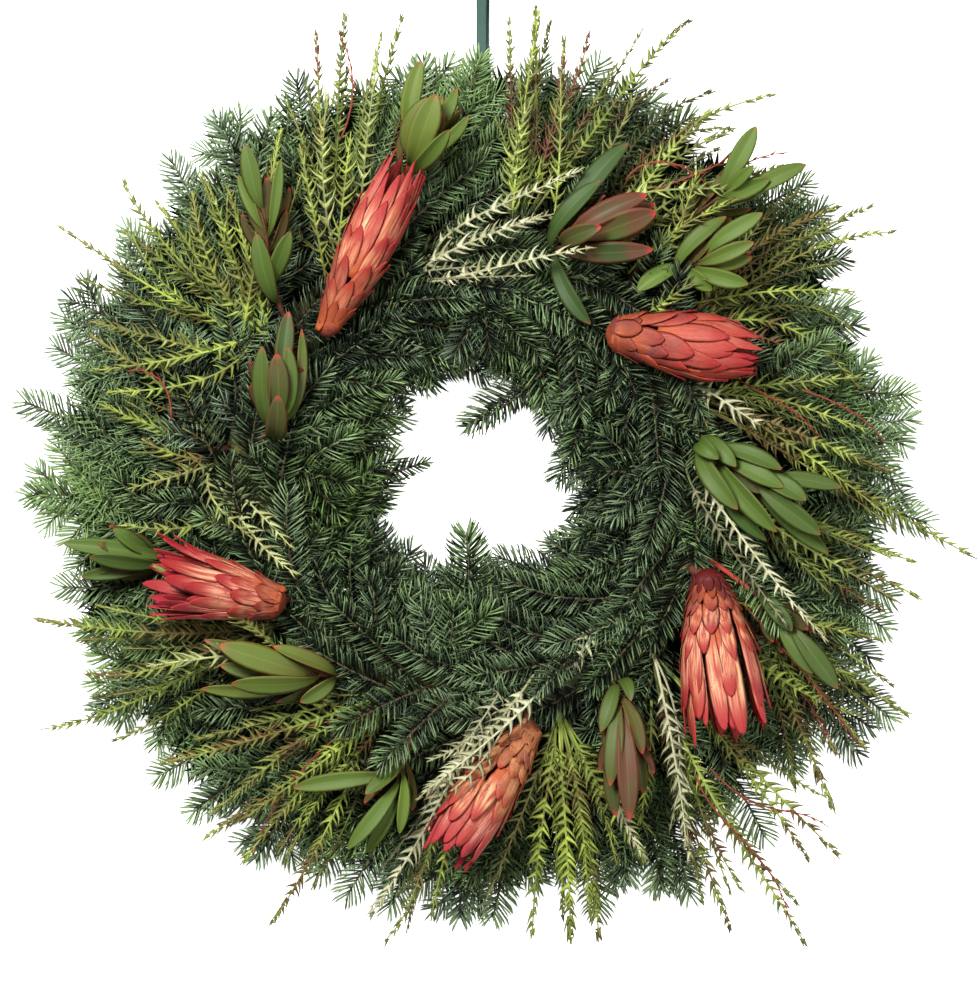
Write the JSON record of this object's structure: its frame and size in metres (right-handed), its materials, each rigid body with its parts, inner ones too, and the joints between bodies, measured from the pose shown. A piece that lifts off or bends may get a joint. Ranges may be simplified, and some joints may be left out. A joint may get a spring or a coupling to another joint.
{
  "type": "protea wreath",
  "caption": "Fresh round wreath of fir, grevillea and leucadendron foliage with protea blooms, bound on a moss-covered wire ring, with a ribbon loop to hang it by.",
  "frame": {"origin": "on the surface that the wreath lies on, under the middle of its foliage's outline", "axes": "+Z out of the wreath's face, +Y towards the hanging ribbon, +X to the right as seen from the front"},
  "size_m": [0.6523, 0.6703, 0.1114],
  "materials": {
    "galvanised_wire": "dull zinc",
    "moss": "fibrous, matt",
    "green_wire": "green lacquer",
    "ribbon": "soft sheen",
    "protea_bract": "silky bracts, orange at the foot and coral pink at the tip",
    "leucadendron_leaf": "smooth green leaves with red edges",
    "grevillea_leaf": "yellow-green above, pale cream below",
    "fir_needle": "blue-green needles, paler below"
  },
  "bodies": {
    "root": {"wire_frame": "galvanised_wire", "moss_ring": "moss", "binding_wire": "green_wire", "hanging_ribbon": "ribbon", "protea_1": "protea_bract", "protea_2": "protea_bract", "protea_3": "protea_bract", "protea_4": "protea_bract", "protea_5": "protea_bract", "leucadendron_1": "leucadendron_leaf", "leucadendron_2": "leucadendron_leaf", "leucadendron_3": "leucadendron_leaf", "leucadendron_4": "leucadendron_leaf", "leucadendron_5": "leucadendron_leaf", "leucadendron_6": "leucadendron_leaf", "leucadendron_7": "leucadendron_leaf", "leucadendron_8": "leucadendron_leaf", "leucadendron_9": "leucadendron_leaf", "leucadendron_10": "leucadendron_leaf", "leucadendron_11": "leucadendron_leaf", "leucadendron_12": "leucadendron_leaf", "grevillea_1": "grevillea_leaf", "grevillea_2": "grevillea_leaf", "grevillea_3": "grevillea_leaf", "grevillea_4": "grevillea_leaf", "grevillea_5": "grevillea_leaf", "grevillea_6": "grevillea_leaf", "grevillea_7": "grevillea_leaf", "grevillea_8": "grevillea_leaf", "grevillea_9": "grevillea_leaf", "grevillea_10": "grevillea_leaf", "grevillea_11": "grevillea_leaf", "grevillea_12": "grevillea_leaf", "grevillea_13": "grevillea_leaf", "grevillea_14": "grevillea_leaf", "grevillea_15": "grevillea_leaf", "fir_top_1": "fir_needle", "fir_top_2": "fir_needle", "fir_top_3": "fir_needle", "fir_top_4": "fir_needle", "fir_inner_1": "fir_needle", "fir_inner_2": "fir_needle", "fir_inner_3": "fir_needle", "fir_inner_4": "fir_needle", "fir_inner_5": "fir_needle", "fir_inner_6": "fir_needle", "fir_inner_7": "fir_needle", "fir_inner_8": "fir_needle", "fir_back_1": "fir_needle", "fir_back_2": "fir_needle", "fir_back_3": "fir_needle", "fir_back_4": "fir_needle", "fir_back_5": "fir_needle", "fir_back_6": "fir_needle", "fir_back_7": "fir_needle", "fir_back_8": "fir_needle", "fir_back_9": "fir_needle", "fir_back_10": "fir_needle", "fir_back_11": "fir_needle", "fir_back_12": "fir_needle"}
  },
  "joints": []
}
